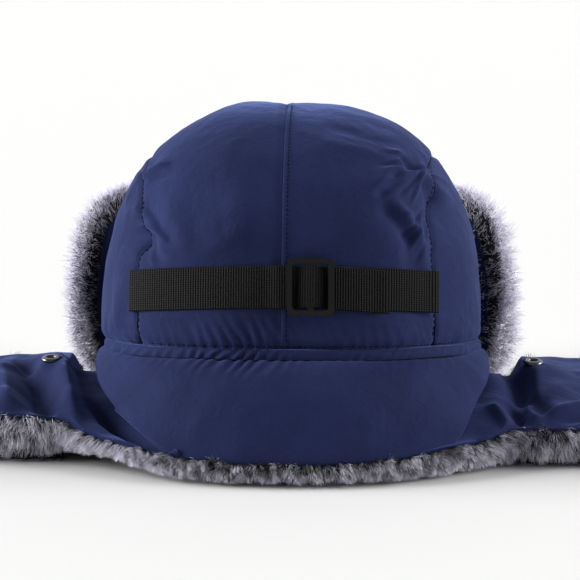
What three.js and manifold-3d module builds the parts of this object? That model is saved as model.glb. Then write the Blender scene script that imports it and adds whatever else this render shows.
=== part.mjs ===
// A winter trapper hat: padded crown, neck flap, two ear flaps, turned-up front flap, rear strap
// with a three-bar slider, and a chin strap in two halves with a side-release buckle.
// Millimetres, +Z up, +Y towards the wearer's face. The hat stands on a table at z = 0 with its
// ear flaps spread to the sides, and the origin is at the centre of its footprint.
import * as THREE from "three";
import { mergeVertices } from "three/addons/utils/BufferGeometryUtils.js";
import Module from "manifold-3d";

const wasm = await Module();
wasm.setup();

// ---- Driving dimensions -------------------------------------------------------------------
const GAP = 0.3; // between pieces that touch

// Crown: a superellipsoid dome, tilted forward because the neck flap props its back up.
const CROWN_HALF_WIDTH = 102;
const CROWN_HALF_DEPTH = 110;
const CROWN_HEIGHT = 126.5;
const PLAN_POWER = 2.35; // how square the dome is seen from above
const RISE_POWER = 2.7; // and seen from the side
const CROWN_CENTRE = new THREE.Vector3(0, 3, 45);
const CROWN_TILT = THREE.MathUtils.degToRad(7.2);
const SIDE_SEAM_X = 77; // the side panels are sewn to the middle ones along this plane
const SEAM_MARGIN = 0.6; // how far each panel stops short of its seams

// Layers, as depths below the outer surface.
const SHELL = 1.2;
const CROWN_PADDING = [SHELL + GAP, 8.5];
const CROWN_LINING = [8.5 + GAP, 10];
const CASING_HEIGHT = 7.5; // the narrow channel sewn under the crown
const ELASTIC = [SHELL + GAP, 2.7];
const ELASTIC_HEIGHT = 5;

// Skirt: neck flap and ear flaps. Every flap is a shell, a padding and a pile lining.
const FLAP_PADDING = [SHELL + GAP, 7.5];
const FLAP_PILE = [7.5 + GAP, 17.5];
const NECK_TOP_ANGLE = THREE.MathUtils.degToRad(86); // either side of the back
const NECK_REACH = 151; // the hem's furthest point behind the origin
const NECK_CORNER = new THREE.Vector3(104, -101, 20); // where the hem meets an ear flap
const NECK_HEM_Z = 10.5;
const NECK_BULGE = 8; // at the back; its ends bulge less
const NECK_PILE_REACH = 1.14; // the pile hangs past the hem, to the table

// Ear flaps: each turns about a line from the band's side to the neck flap's corner.
const HINGE_FRONT = new THREE.Vector3(109, 50, 42);
const HINGE_REAR = new THREE.Vector3(110, -98, 29);
const EAR_START = 3; // first fabric outside the hinge line
const EAR_LENGTH = 134;
const EAR_POWER = 2.6; // how squarely the flap's end is rounded
const EAR_TIP_U = 0.985;
const EAR_CREST = [38, 19]; // height of the flap's back, at its root and its tip
const EAR_EDGE_Z = 23; // height of its long edges
const EAR_ARCH = 14; // the flap stands on its rim and arches off the table between
const EAR_RIM = 18; // how much of the arch is cut off flat, which sets how wide the rim is
const EYELET_AT = [0.12, 0.54]; // along and across the flap
const EYELET = { flange: 5, barrel: 3, hole: 2.4, flangeHeight: 0.8, depth: 8 };

// Front flap, turned up against the crown.
const FRONT_LOW = -6;
const FRONT_HIGH = 80;
const FRONT_DROOP = 22; // its ends hang lower than its root
const FRONT_CLEARANCE = 3;
const FRONT_FLARE = 5;
const FRONT_WING = 31; // how far its ends stand off the crown
const FRONT_ANGLE = THREE.MathUtils.degToRad(57);
const FRONT_ANGLE_BULGE = THREE.MathUtils.degToRad(5);
const FRONT_PADDING = [SHELL + GAP, 6];
const FRONT_PILE = [6 + GAP, 15];

// Rear strap and slider.
const WEBBING_WIDTH = 20;
const WEBBING = 1.2;
const STRAP_H = 31; // height on the crown
const STRAP_END_DROP = 3.5;
const STRAP_LEFT_X = -80;
const STRAP_RIGHT_X = 74;
const STRAP_TAIL_X = 49;
const SLIDER_X = 12;
const SLIDER = { width: 23.3, height: 28.3, side: 2.6, rim: 2.7, depth: 2.6, bar: 3, barDepth: 1.5 };
const SLIDER_CORNER = 3.5;
const FIRST_LAYER = 0.4; // under side of the webbing that lies on the crown
const SECOND_LAYER = FIRST_LAYER + WEBBING + GAP;
const SLIDER_LIFT = SECOND_LAYER + WEBBING + GAP;
const STRAP_STEP_X = [-11, -3]; // where the left strap climbs onto the right one

// Chin strap and its side-release buckle.
const CHIN_LENGTH = 50;
const CHIN_Z = 9;
const BUCKLE_LENGTH = 28;
const BUCKLE_WIDTH = 27;
const BUCKLE_HEIGHT = 8;
const BUCKLE_SLOT = 2.4;
const SOCKET = { corner: 4, wall: 1.5, side: 3.5, mouth: 15.5, window: 8, rim: 5, slotX: 5.5 };
const PLUG = { base: 12.5, corner: 2, arm: 3, inset: 3, tip: 3, tongue: 3, thickness: 5, slotsX: [3.8, 8.6] };

// ---- Materials ----------------------------------------------------------------------------
const finish = (color, roughness, metalness = 0) =>
  new THREE.MeshStandardMaterial({ color, roughness, metalness });
const NYLON = finish(0x232f66, 0.55);
const WADDING = finish(0xe8e8e4, 0.95);
const LINING = finish(0x17181f, 0.45);
const PILE = finish(0x6d6b74, 0.95);
const WEB = finish(0x1c1b1a, 0.85);
const ELASTIC_WEAVE = finish(0x30302f, 0.9);
const PLASTIC = finish(0x121212, 0.4);
const METAL = finish(0x8d8f90, 0.3, 1);

// ---- Solids -------------------------------------------------------------------------------
const hat = new THREE.Group();
const crown = new THREE.Group();
crown.position.copy(CROWN_CENTRE);
crown.rotation.x = -CROWN_TILT;
hat.add(crown);

function add(group, name, geometry, material) {
  const mesh = new THREE.Mesh(geometry, material);
  mesh.name = name;
  group.add(mesh);
  return mesh;
}

function volumeOf(points, triangles) {
  const [a, b, c] = [new THREE.Vector3(), new THREE.Vector3(), new THREE.Vector3()];
  let sum = 0;
  for (const [i, j, k] of triangles) {
    sum += a.copy(points[i]).dot(b.copy(points[j]).cross(c.copy(points[k]))) / 6;
  }
  return sum;
}

// The closed solid between two offsets of the surface patch surface(u, v) = { p, n }.
// near and far are distances along n, as numbers or functions of (u, v).
// loop joins u = 1 to u = 0.
function layer(surface, nu, nv, near, far, { loop = false } = {}) {
  const columns = loop ? nu : nu + 1;
  const offset = (d, u, v) => (typeof d === "function" ? d(u, v) : d);
  const points = [];
  for (const d of [near, far]) {
    for (let i = 0; i < columns; i++) {
      for (let j = 0; j <= nv; j++) {
        const [u, v] = [i / nu, j / nv];
        const { p, n } = surface(u, v);
        points.push(p.clone().addScaledVector(n, offset(d, u, v)));
      }
    }
  }
  const at = (side, i, j) => (side * columns + (i % columns)) * (nv + 1) + j;
  const triangles = [];
  const quad = (a, b, c, d) => triangles.push([a, b, c], [a, c, d]);
  for (let i = 0; i < nu; i++) {
    for (let j = 0; j < nv; j++) {
      quad(at(1, i, j), at(1, i + 1, j), at(1, i + 1, j + 1), at(1, i, j + 1));
      quad(at(0, i, j), at(0, i, j + 1), at(0, i + 1, j + 1), at(0, i + 1, j));
    }
    quad(at(0, i, 0), at(0, i + 1, 0), at(1, i + 1, 0), at(1, i, 0));
    quad(at(0, i, nv), at(1, i, nv), at(1, i + 1, nv), at(0, i + 1, nv));
  }
  for (let j = 0; !loop && j < nv; j++) {
    quad(at(0, 0, j), at(1, 0, j), at(1, 0, j + 1), at(0, 0, j + 1));
    quad(at(0, nu, j), at(0, nu, j + 1), at(1, nu, j + 1), at(1, nu, j));
  }
  if (volumeOf(points, triangles) < 0) triangles.forEach((t) => t.reverse());
  const geometry = new THREE.BufferGeometry();
  geometry.setAttribute("position", new THREE.Float32BufferAttribute(points.flatMap((p) => [...p]), 3));
  geometry.setIndex(triangles.flat());
  geometry.computeVertexNormals();
  return geometry;
}

function toSolid(geometry) {
  const bare = new THREE.BufferGeometry();
  bare.setAttribute("position", geometry.getAttribute("position"));
  if (geometry.index) bare.setIndex(geometry.index);
  const merged = mergeVertices(bare, 1e-4);
  return new wasm.Manifold(
    new wasm.Mesh({
      numProp: 3,
      vertProperties: new Float32Array(merged.attributes.position.array),
      triVerts: new Uint32Array(merged.index.array),
    }),
  );
}

function toGeometry(solid) {
  const { vertProperties, triVerts, numProp } = solid.getMesh();
  const geometry = new THREE.BufferGeometry();
  const xyz = [];
  for (let i = 0; i < vertProperties.length; i += numProp) {
    xyz.push(vertProperties[i], vertProperties[i + 1], vertProperties[i + 2]);
  }
  geometry.setAttribute("position", new THREE.Float32BufferAttribute(xyz, 3));
  geometry.setIndex([...triVerts]);
  geometry.computeVertexNormals();
  return geometry;
}

const cut = (geometry, tool) => toGeometry(toSolid(geometry).subtract(toSolid(tool)));

// A prism whose rounded-rectangle section stands in the XZ plane, extruded from y = 0 to -depth.
function roundedRectangle(width, height, radius) {
  const [w, h] = [width / 2, height / 2];
  const shape = new THREE.Shape();
  shape.moveTo(-w + radius, -h);
  shape.lineTo(w - radius, -h);
  shape.absarc(w - radius, -h + radius, radius, -Math.PI / 2, 0);
  shape.lineTo(w, h - radius);
  shape.absarc(w - radius, h - radius, radius, 0, Math.PI / 2);
  shape.lineTo(-w + radius, h);
  shape.absarc(-w + radius, h - radius, radius, Math.PI / 2, Math.PI);
  shape.lineTo(-w, -h + radius);
  shape.absarc(-w + radius, -h + radius, radius, Math.PI, 1.5 * Math.PI);
  return shape;
}

// ---- Crown --------------------------------------------------------------------------------
const power = (value, exponent) => Math.sign(value) * Math.abs(value) ** exponent;

// How far (x, y) is from the dome's axis, as a share of its outline, and the height above it.
const share = (x, y) =>
  Math.hypot(
    Math.abs(x / CROWN_HALF_WIDTH) ** (PLAN_POWER / 2),
    Math.abs(y / CROWN_HALF_DEPTH) ** (PLAN_POWER / 2),
  ) ** (2 / PLAN_POWER);
const rest = (c, exponent) => Math.max(0, 1 - Math.abs(c) ** exponent) ** (1 / exponent);
const heightAt = (x, y) => CROWN_HEIGHT * rest(share(x, y), RISE_POWER);

function onCrown(x, y, z) {
  const steep = share(x, y) ** (RISE_POWER - PLAN_POWER);
  const n = new THREE.Vector3(
    (steep * power(x / CROWN_HALF_WIDTH, PLAN_POWER - 1)) / CROWN_HALF_WIDTH,
    (steep * power(y / CROWN_HALF_DEPTH, PLAN_POWER - 1)) / CROWN_HALF_DEPTH,
    power(Math.max(0, z) / CROWN_HEIGHT, RISE_POWER - 1) / CROWN_HEIGHT,
  );
  return { p: new THREE.Vector3(x, y, z), n: n.normalize() };
}
const bow = (angle, exponent) =>
  [Math.cos(angle), Math.sin(angle)].map((share) => power(share, 2 / exponent));

// Middle panels run from the back hem over the top to the front hem.
function middlePanel(side) {
  return (u, v) => {
    const x = side * THREE.MathUtils.lerp(SEAM_MARGIN, SIDE_SEAM_X - SEAM_MARGIN, u);
    const reach = CROWN_HALF_DEPTH * rest(x / CROWN_HALF_WIDTH, PLAN_POWER);
    const y = -reach * bow(Math.PI * v, RISE_POWER)[0];
    return onCrown(x, y, heightAt(x, y));
  };
}

// Side panels are D-shaped: a straight hem and the curved seam.
function sidePanel(side) {
  const seamX = SIDE_SEAM_X + SEAM_MARGIN;
  const reach = 0.985 * CROWN_HALF_DEPTH * rest(seamX / CROWN_HALF_WIDTH, PLAN_POWER);
  return (u, v) => {
    const y = THREE.MathUtils.lerp(-reach, reach, u);
    const outermost = CROWN_HALF_WIDTH * rest(y / CROWN_HALF_DEPTH, PLAN_POWER);
    const seam = Math.acos(Math.min(1, seamX / outermost) ** (RISE_POWER / 2));
    const x = outermost * bow(seam * v, RISE_POWER)[0];
    return onCrown(side * x, y, heightAt(x, y));
  };
}

// A strip round the crown between two heights; from and to are angles from the back, as seen from above.
function hoop(from, to, low, high) {
  return (u, v) => {
    const [x, y] = bow(THREE.MathUtils.lerp(from, to, u) - Math.PI / 2, PLAN_POWER);
    return onCrown(CROWN_HALF_WIDTH * x, CROWN_HALF_DEPTH * y, THREE.MathUtils.lerp(low, high, v));
  };
}

const below = ([near, far]) => [-far, -near];

// Every layer of a panel has the same facets, so the layers nest.
const CROWN_LAYERS = [
  ["", [0, SHELL], NYLON],
  ["_padding", CROWN_PADDING, WADDING],
  ["_lining", CROWN_LINING, LINING],
];
for (const [name, side] of [["left", -1], ["right", 1]]) {
  for (const [kind, depths, material] of CROWN_LAYERS) {
    add(crown, `crown_middle_${name}${kind}`, layer(middlePanel(side), 3, 14, ...below(depths)), material);
    add(crown, `crown_side_${name}${kind}`, layer(sidePanel(side), 8, 4, ...below(depths)), material);
  }
}
const TURN_FACETS = 28;
const CASING = hoop(-Math.PI, Math.PI, -CASING_HEIGHT, -GAP);
add(crown, "band_casing", layer(CASING, TURN_FACETS, 1, -SHELL, 0, { loop: true }), NYLON);
const ELASTIC_LOW = -(CASING_HEIGHT + ELASTIC_HEIGHT) / 2;
const ELASTIC_HOOP = hoop(-Math.PI / 2, Math.PI / 2, ELASTIC_LOW, ELASTIC_LOW + ELASTIC_HEIGHT);
add(crown, "band_elastic", layer(ELASTIC_HOOP, TURN_FACETS / 2, 1, ...below(ELASTIC)), ELASTIC_WEAVE);

// ---- Rear strap and slider ----------------------------------------------------------------
// Webbing lies on the back of the crown; its outer ends drop a little towards the side seams.
function webbing(from, to) {
  return (u, v) => {
    const x = THREE.MathUtils.lerp(from, to, u);
    const drop = STRAP_END_DROP * (x / STRAP_LEFT_X) ** 2;
    const z = STRAP_H - drop + (v - 0.5) * WEBBING_WIDTH;
    const s = rest(z / CROWN_HEIGHT, RISE_POWER);
    return onCrown(x, -CROWN_HALF_DEPTH * s * rest(x / CROWN_HALF_WIDTH / s, PLAN_POWER), z);
  };
}
const climb = (x) => THREE.MathUtils.smoothstep(x, ...STRAP_STEP_X) * (SECOND_LAYER - FIRST_LAYER);
const leftStrapBase = (u) => FIRST_LAYER + climb(THREE.MathUtils.lerp(STRAP_LEFT_X, STRAP_TAIL_X, u));
add(
  crown,
  "strap_left_with_tail",
  layer(webbing(STRAP_LEFT_X, STRAP_TAIL_X), 28, 1, leftStrapBase, (u) => leftStrapBase(u) + WEBBING),
  WEB,
);
const RIGHT_STRAP = webbing(STRAP_STEP_X[1] + GAP, STRAP_RIGHT_X);
add(crown, "strap_right", layer(RIGHT_STRAP, 14, 1, FIRST_LAYER, FIRST_LAYER + WEBBING), WEB);

// The slider is a flat frame with a bar across it; the webbing passes over the bar.
const sliderSeat = webbing(SLIDER_X, SLIDER_X + 1)(0, 0.5);
const slider = new THREE.Group();
slider.position.copy(sliderSeat.p).addScaledVector(sliderSeat.n, SLIDER_LIFT + 0.2);
slider.rotation.set(Math.asin(-sliderSeat.n.z), 0, 0);
crown.add(slider);

function sliderFrame() {
  const { width, height, side, rim, depth, bar, barDepth } = SLIDER;
  const outline = roundedRectangle(width, height, SLIDER_CORNER);
  outline.holes.push(roundedRectangle(width - 2 * side, height - 2 * rim, SLIDER_CORNER - side / 2));
  const frame = new THREE.ExtrudeGeometry(outline, { depth, bevelEnabled: false, curveSegments: 4 });
  const cross = new THREE.BoxGeometry(bar, height - rim, barDepth).translate(0, 0, barDepth / 2);
  const both = toSolid(frame).add(toSolid(cross));
  return toGeometry(both).rotateX(Math.PI / 2);
}

// The stretch of webbing that humps over the slider's bar, inside the frame.
function barLoop() {
  const { width, side, bar, barDepth } = SLIDER;
  const half = width / 2 - side - 2.6;
  const path = (u) => {
    const x = THREE.MathUtils.lerp(-half, half, u);
    const rise = 1 - THREE.MathUtils.smoothstep(Math.abs(x), bar / 2 + GAP, half);
    return new THREE.Vector3(x, -(barDepth + GAP) * rise, 0);
  };
  const surface = (u, v) => {
    const along = path(Math.min(1, u + 0.01)).sub(path(Math.max(0, u - 0.01)));
    const n = new THREE.Vector3(along.y, -along.x, 0).normalize();
    return { p: path(u).setZ((v - 0.5) * WEBBING_WIDTH), n };
  };
  return layer(surface, 14, 1, 0, WEBBING);
}
add(slider, "strap_slider", sliderFrame(), PLASTIC);
add(slider, "strap_over_slider_bar", barLoop(), WEB);

// ---- Neck flap ----------------------------------------------------------------------------
crown.updateMatrixWorld(true);
const toHat = (p) => p.clone().applyMatrix4(crown.matrixWorld);
const CASING_BOTTOM = -CASING_HEIGHT - GAP;

// The hem: a curve through the two corners and the furthest point behind.
function hem(u) {
  const across = 2 * u - 1;
  const x = NECK_CORNER.x * across;
  const swell = (1 - Math.abs(across) ** 2.2) ** (1 / 1.6);
  const y = THREE.MathUtils.lerp(NECK_CORNER.y, -NECK_REACH + FLAP_PILE[1] * 0.35, swell);
  return new THREE.Vector3(x, y, THREE.MathUtils.lerp(NECK_CORNER.z, NECK_HEM_Z, swell));
}

function neckPoint(u, v) {
  const angle = THREE.MathUtils.lerp(-NECK_TOP_ANGLE, NECK_TOP_ANGLE, u) - Math.PI / 2;
  const [x, y] = bow(angle, PLAN_POWER);
  const top = toHat(new THREE.Vector3(CROWN_HALF_WIDTH * x, CROWN_HALF_DEPTH * y, CASING_BOTTOM));
  const outward = new THREE.Vector3(x, y, 0.25).normalize();
  const bulge = NECK_BULGE * (1 - 0.7 * (2 * u - 1) ** 4) * Math.sin(Math.PI * v) * (1 - 0.4 * v);
  return top.lerp(hem(u), v).addScaledVector(outward, bulge);
}

// Any patch given by its points gets its normal from its neighbours; facing says which side is out.
function patch(point, facing) {
  const step = 0.01;
  return (u, v) => {
    const du = point(Math.min(1, u + step), v).sub(point(Math.max(0, u - step), v));
    const dv = point(u, Math.min(1, v + step)).sub(point(u, Math.max(0, v - step)));
    const n = du.cross(dv).normalize();
    return { p: point(u, v), n: n.dot(facing(u, v)) < 0 ? n.negate() : n };
  };
}
const outOfNeck = (u) => {
  const angle = (2 * u - 1) * NECK_TOP_ANGLE;
  return new THREE.Vector3(Math.sin(angle), -Math.cos(angle), 0.6);
};
const NECK = patch(neckPoint, outOfNeck);
add(hat, "neck_flap_shell", layer(NECK, 14, 3, -SHELL, 0), NYLON);
add(hat, "neck_flap_padding", layer(NECK, 14, 3, ...below(FLAP_PADDING)), WADDING);

// The pile hangs below the hem to the table, where it is trodden flat.
function onTable(geometry) {
  const position = geometry.getAttribute("position");
  for (let i = 0; i < position.count; i++) position.setZ(i, Math.max(0, position.getZ(i)));
  geometry.computeVertexNormals();
  return geometry;
}
const NECK_LINING = patch((u, v) => neckPoint(u, v * NECK_PILE_REACH), outOfNeck);
add(hat, "neck_flap_pile", onTable(layer(NECK_LINING, 14, 4, -FLAP_PILE[1], -FLAP_PILE[0] - 1)), PILE);

// ---- Ear flaps ----------------------------------------------------------------------------
const EAR_MIDDLE_Y = (HINGE_FRONT.y + HINGE_REAR.y) / 2;
const EAR_HALF_WIDTH = (HINGE_FRONT.y - HINGE_REAR.y) / 2;

// u runs outward from the hinge line, v from the front edge to the rear edge.
function earPoint(side) {
  return (u, v) => {
    const along = EAR_TIP_U * u;
    const narrow = rest(along, EAR_POWER);
    const x = THREE.MathUtils.lerp(HINGE_FRONT.x, HINGE_REAR.x, v) + EAR_START + EAR_LENGTH * along;
    const y = EAR_MIDDLE_Y + EAR_HALF_WIDTH * narrow * (1 - 2 * v);
    const crest = THREE.MathUtils.lerp(...EAR_CREST, THREE.MathUtils.smoothstep(u, 0, 1));
    const edge = Math.min(EAR_EDGE_Z, crest);
    return new THREE.Vector3(side * x, y, THREE.MathUtils.lerp(crest, edge, (1 - 2 * v) ** 2));
  };
}
// The pile's underside: flat on the table round the rim, arched between.
function earArch(u, v) {
  const across = 1 - (1 - 2 * v) ** 2;
  return Math.max(0, (EAR_ARCH + EAR_RIM) * across * (1 - u ** 4) - EAR_RIM);
}
const up = () => new THREE.Vector3(0, 0, 1);

function earPile(surface) {
  const down = (u, v) => {
    const { p } = surface(u, v);
    return { p: p.setZ(p.z - FLAP_PILE[0] - 1), n: new THREE.Vector3(0, 0, -1) };
  };
  return layer(down, 8, 6, 0, (u, v) => down(u, v).p.z - earArch(u, v));
}
function eyeletTool(radius, depth) {
  return new THREE.CylinderGeometry(radius, radius, 2 * depth, 12).rotateX(Math.PI / 2);
}
// A ring turned about Z from its [radius, height] section.
function turned(section) {
  const profile = section.reverse().map(([r, z]) => new THREE.Vector2(r, z));
  return new THREE.LatheGeometry(profile, 12).rotateX(Math.PI / 2);
}
function eyelet() {
  const { flange, barrel, hole, flangeHeight, depth } = EYELET;
  const profile = [
    [hole, flangeHeight], [hole + 0.6, flangeHeight + 0.35], [flange - 0.5, flangeHeight], [flange, 0],
    [barrel, 0], [barrel, -depth], [hole, -depth], [hole, flangeHeight],
  ];
  return turned(profile);
}
function eyeletWasher() {
  const { flange, barrel } = EYELET;
  const inner = barrel + GAP;
  return turned([[inner, 0.6], [flange, 0.6], [flange, 0], [inner, 0], [inner, 0.6]]);
}

// Webbing from under the flap's end down to the table.
function chinWebbing(side) {
  const start = HINGE_FRONT.x + EAR_START + EAR_LENGTH * EAR_TIP_U + GAP + 1;
  const point = (u, v) => {
    const x = start + CHIN_LENGTH * u;
    const buckleZ = (BUCKLE_HEIGHT + WEBBING) / 2;
    const z = THREE.MathUtils.lerp(CHIN_Z, buckleZ, THREE.MathUtils.smoothstep(u, 0, 1));
    return new THREE.Vector3(side * x, EAR_MIDDLE_Y + (v - 0.5) * WEBBING_WIDTH, z);
  };
  return { geometry: layer(patch(point, up), 6, 1, -WEBBING, 0), end: start + CHIN_LENGTH };
}

// Buckle halves lie flat, long axis along X, starting at x = 0 where the webbing ends.
function extrudeUp(shape, depth) {
  return new THREE.ExtrudeGeometry(shape, { depth, bevelEnabled: false, curveSegments: 4 });
}
function webbingSlot(x) {
  return new THREE.BoxGeometry(BUCKLE_SLOT, WEBBING_WIDTH + 1, BUCKLE_HEIGHT * 2).translate(x, 0, 0);
}

function buckleSocket() {
  const outline = roundedRectangle(BUCKLE_LENGTH, BUCKLE_WIDTH, SOCKET.corner);
  const body = extrudeUp(outline, BUCKLE_HEIGHT).translate(BUCKLE_LENGTH / 2, 0, 0);
  const open = BUCKLE_HEIGHT - 2 * SOCKET.wall;
  const middle = BUCKLE_HEIGHT / 2;
  const mouth = new THREE.BoxGeometry(SOCKET.mouth, BUCKLE_WIDTH - 2 * SOCKET.side, open);
  mouth.translate(BUCKLE_LENGTH + GAP - SOCKET.mouth / 2, 0, middle);
  const window = new THREE.BoxGeometry(SOCKET.window, BUCKLE_WIDTH + 2 * GAP, open);
  window.translate(BUCKLE_LENGTH - SOCKET.rim - SOCKET.window / 2, 0, middle);
  return cut(cut(cut(body, mouth), window), webbingSlot(SOCKET.slotX));
}

// One springy prong of the plug, from its base out to the rounded tip.
function prong(side) {
  const outer = side * (BUCKLE_WIDTH / 2 - PLUG.inset);
  const inner = outer - side * PLUG.arm;
  const neck = BUCKLE_LENGTH - PLUG.tip;
  const outline = new THREE.Shape();
  outline.moveTo(PLUG.base - PLUG.corner, inner);
  outline.lineTo(PLUG.base - PLUG.corner, outer);
  outline.lineTo(neck, outer);
  outline.quadraticCurveTo(BUCKLE_LENGTH + PLUG.tip, (outer + inner) / 2, neck, inner);
  outline.closePath();
  return toSolid(extrudeUp(outline, PLUG.thickness));
}

function bucklePlug() {
  const base = extrudeUp(roundedRectangle(PLUG.base, BUCKLE_WIDTH, PLUG.corner), PLUG.thickness);
  const reach = BUCKLE_LENGTH - PLUG.tip;
  const tongue = new THREE.BoxGeometry(reach / 2, PLUG.tongue, PLUG.thickness);
  tongue.translate(reach * 0.75, 0, PLUG.thickness / 2);
  const solid = toSolid(base.translate(PLUG.base / 2, 0, 0)).add(toSolid(tongue));
  const body = toGeometry(solid.add(prong(-1)).add(prong(1)));
  return PLUG.slotsX.reduce((rest, x) => cut(rest, webbingSlot(x)), body);
}

for (const [name, side] of [["left", -1], ["right", 1]]) {
  const surface = patch(earPoint(side), up);
  const seat = surface(...EYELET_AT);
  const turn = new THREE.Quaternion().setFromUnitVectors(new THREE.Vector3(0, 0, 1), seat.n);
  const place = (geometry, lift = 0) =>
    geometry.applyQuaternion(turn).translate(...seat.p.clone().addScaledVector(seat.n, lift));
  const bore = place(eyeletTool(EYELET.barrel + GAP, 2 * EYELET.depth));
  const wideBore = place(eyeletTool(EYELET.flange + GAP, 2 * EYELET.depth));
  add(hat, `${name}_ear_shell`, cut(layer(surface, 8, 6, -SHELL, 0), bore), NYLON);
  add(hat, `${name}_ear_padding`, cut(layer(surface, 8, 6, ...below(FLAP_PADDING)), wideBore), WADDING);
  add(hat, `${name}_ear_pile`, cut(earPile(surface), wideBore), PILE);
  add(hat, `${name}_eyelet`, place(eyelet(), GAP), METAL);
  add(hat, `${name}_eyelet_washer`, place(eyeletWasher(), -EYELET.depth + GAP + 0.2), METAL);
  const { geometry, end } = chinWebbing(side);
  add(hat, `${name}_chin_strap`, geometry, WEB);
  const half = side < 0 ? buckleSocket().rotateZ(Math.PI) : bucklePlug();
  const lift = side < 0 ? 0 : (BUCKLE_HEIGHT - (BUCKLE_HEIGHT - 3)) / 2;
  half.translate(side * (end + GAP), EAR_MIDDLE_Y, lift);
  add(hat, side < 0 ? "buckle_socket" : "buckle_plug", half, PLASTIC);
}

// ---- Front flap ---------------------------------------------------------------------------
function frontPoint(u, v) {
  const spread = FRONT_ANGLE + FRONT_ANGLE_BULGE * Math.sin(Math.PI * v);
  const angle = THREE.MathUtils.lerp(-spread, spread, u);
  const [x, y] = bow(Math.PI / 2 - angle, PLAN_POWER);
  const end = Math.abs(2 * u - 1) ** 3;
  const off = FRONT_CLEARANCE + SHELL + FRONT_FLARE * v;
  const wing = FRONT_WING * end * Math.sin(Math.PI * (0.2 + 0.6 * v));
  const z = THREE.MathUtils.lerp(FRONT_LOW - FRONT_DROOP * end, FRONT_HIGH, v);
  return new THREE.Vector3((CROWN_HALF_WIDTH + off + wing) * x, (CROWN_HALF_DEPTH + off) * y, z);
}
const outOfFront = (u) => {
  const angle = (2 * u - 1) * FRONT_ANGLE;
  return new THREE.Vector3(Math.sin(angle), Math.cos(angle), 0);
};
const FRONT = patch(frontPoint, outOfFront);
add(crown, "front_flap_shell", layer(FRONT, 12, 4, -SHELL, 0), NYLON);
add(crown, "front_flap_padding", layer(FRONT, 12, 4, GAP, FRONT_PADDING[1] - SHELL), WADDING);
add(crown, "front_flap_pile", layer(FRONT, 12, 4, FRONT_PILE[0] - SHELL, FRONT_PILE[1] - SHELL), PILE);

export default hat;
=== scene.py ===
# The look of a navy trapper hat that lies on a pale table, seen from behind. Lengths are
# millimetres until a mesh is made.
import math

import bmesh
import bpy
import numpy as np
from mathutils import Matrix, Vector, noise


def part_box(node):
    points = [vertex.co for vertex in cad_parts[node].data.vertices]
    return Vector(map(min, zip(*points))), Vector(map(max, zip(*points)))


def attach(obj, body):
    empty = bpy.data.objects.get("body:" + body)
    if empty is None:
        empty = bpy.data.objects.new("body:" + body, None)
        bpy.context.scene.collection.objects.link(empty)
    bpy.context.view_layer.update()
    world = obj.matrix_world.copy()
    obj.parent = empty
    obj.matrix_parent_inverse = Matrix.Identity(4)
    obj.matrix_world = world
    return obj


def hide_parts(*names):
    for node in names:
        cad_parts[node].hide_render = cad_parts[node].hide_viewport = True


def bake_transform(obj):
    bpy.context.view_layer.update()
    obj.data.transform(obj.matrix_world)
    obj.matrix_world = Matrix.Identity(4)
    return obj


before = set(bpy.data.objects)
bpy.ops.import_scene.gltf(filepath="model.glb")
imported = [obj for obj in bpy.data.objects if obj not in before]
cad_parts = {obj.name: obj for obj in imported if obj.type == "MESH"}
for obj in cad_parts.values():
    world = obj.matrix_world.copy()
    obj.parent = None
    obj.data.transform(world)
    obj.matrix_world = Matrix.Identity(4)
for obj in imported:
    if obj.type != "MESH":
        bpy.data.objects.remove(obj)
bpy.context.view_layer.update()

MM = 0.001
RNG = np.random.default_rng(7)
DETAIL = 1.0

# ---- Driving dimensions, as in the CAD model ----
HALF_WIDTH, HALF_DEPTH, RISE = 102.0, 110.0, 126.5
PLAN, DOME = 2.35, 2.7  # superellipse powers, seen from above and from the side
CROWN_CENTRE = np.array([0.0, 3.0, 45.0])
CROWN_TILT = math.radians(7.2)
SIDE_SEAM = 77.0
SEAM_ALLOWANCE = 3.0
SEAM_GAP = 0.15  # between each panel's edge and the line of the side seam
CASING = 7.5
STRAP_H, STRAP_DROP = 31.0, 3.5
WEBBING, WEBBING_WIDTH = 1.2, 20.0
FIRST_LAYER = 0.4
SECOND_LAYER = FIRST_LAYER + WEBBING + 0.3
SIDES = (("left", -1), ("right", 1))


# ---- Small helpers ----
def smooth(t):
    t = np.clip(t, 0.0, 1.0)
    return t * t * (3 - 2 * t)


def ramp(x, a, b):
    return smooth((x - a) / (b - a))


def bump(d, width):
    return np.exp(-((d / width) ** 2))


def power(c, e):
    return np.sign(c) * np.abs(c) ** e


def lerp(a, b, t):
    return a + (b - a) * t


def rough(points, size, seed):
    """Smooth noise, about -1 to 1, with bumps of the given size."""
    flat = np.asarray(points).reshape(-1, 3) / size + seed
    values = [noise.noise(Vector(p)) for p in flat]
    return np.array(values).reshape(np.asarray(points).shape[:-1]) * 1.6


def unit(v):
    return v / (np.linalg.norm(v, axis=-1, keepdims=True) + 1e-9)


def lattice(columns, rows, first=(0, 1), second=(0, 1)):
    """Even steps over two ranges, each paired with each."""
    return np.meshgrid(np.linspace(*first, columns), np.linspace(*second, rows), indexing="ij")


def grid_faces(rows, columns):
    """Quads of a grid whose points are stored row by row."""
    i, j = np.meshgrid(np.arange(rows - 1), np.arange(columns - 1), indexing="ij")
    a = (i * columns + j).ravel()
    return np.stack([a, a + columns, a + columns + 1, a + 1], axis=1)


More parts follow.
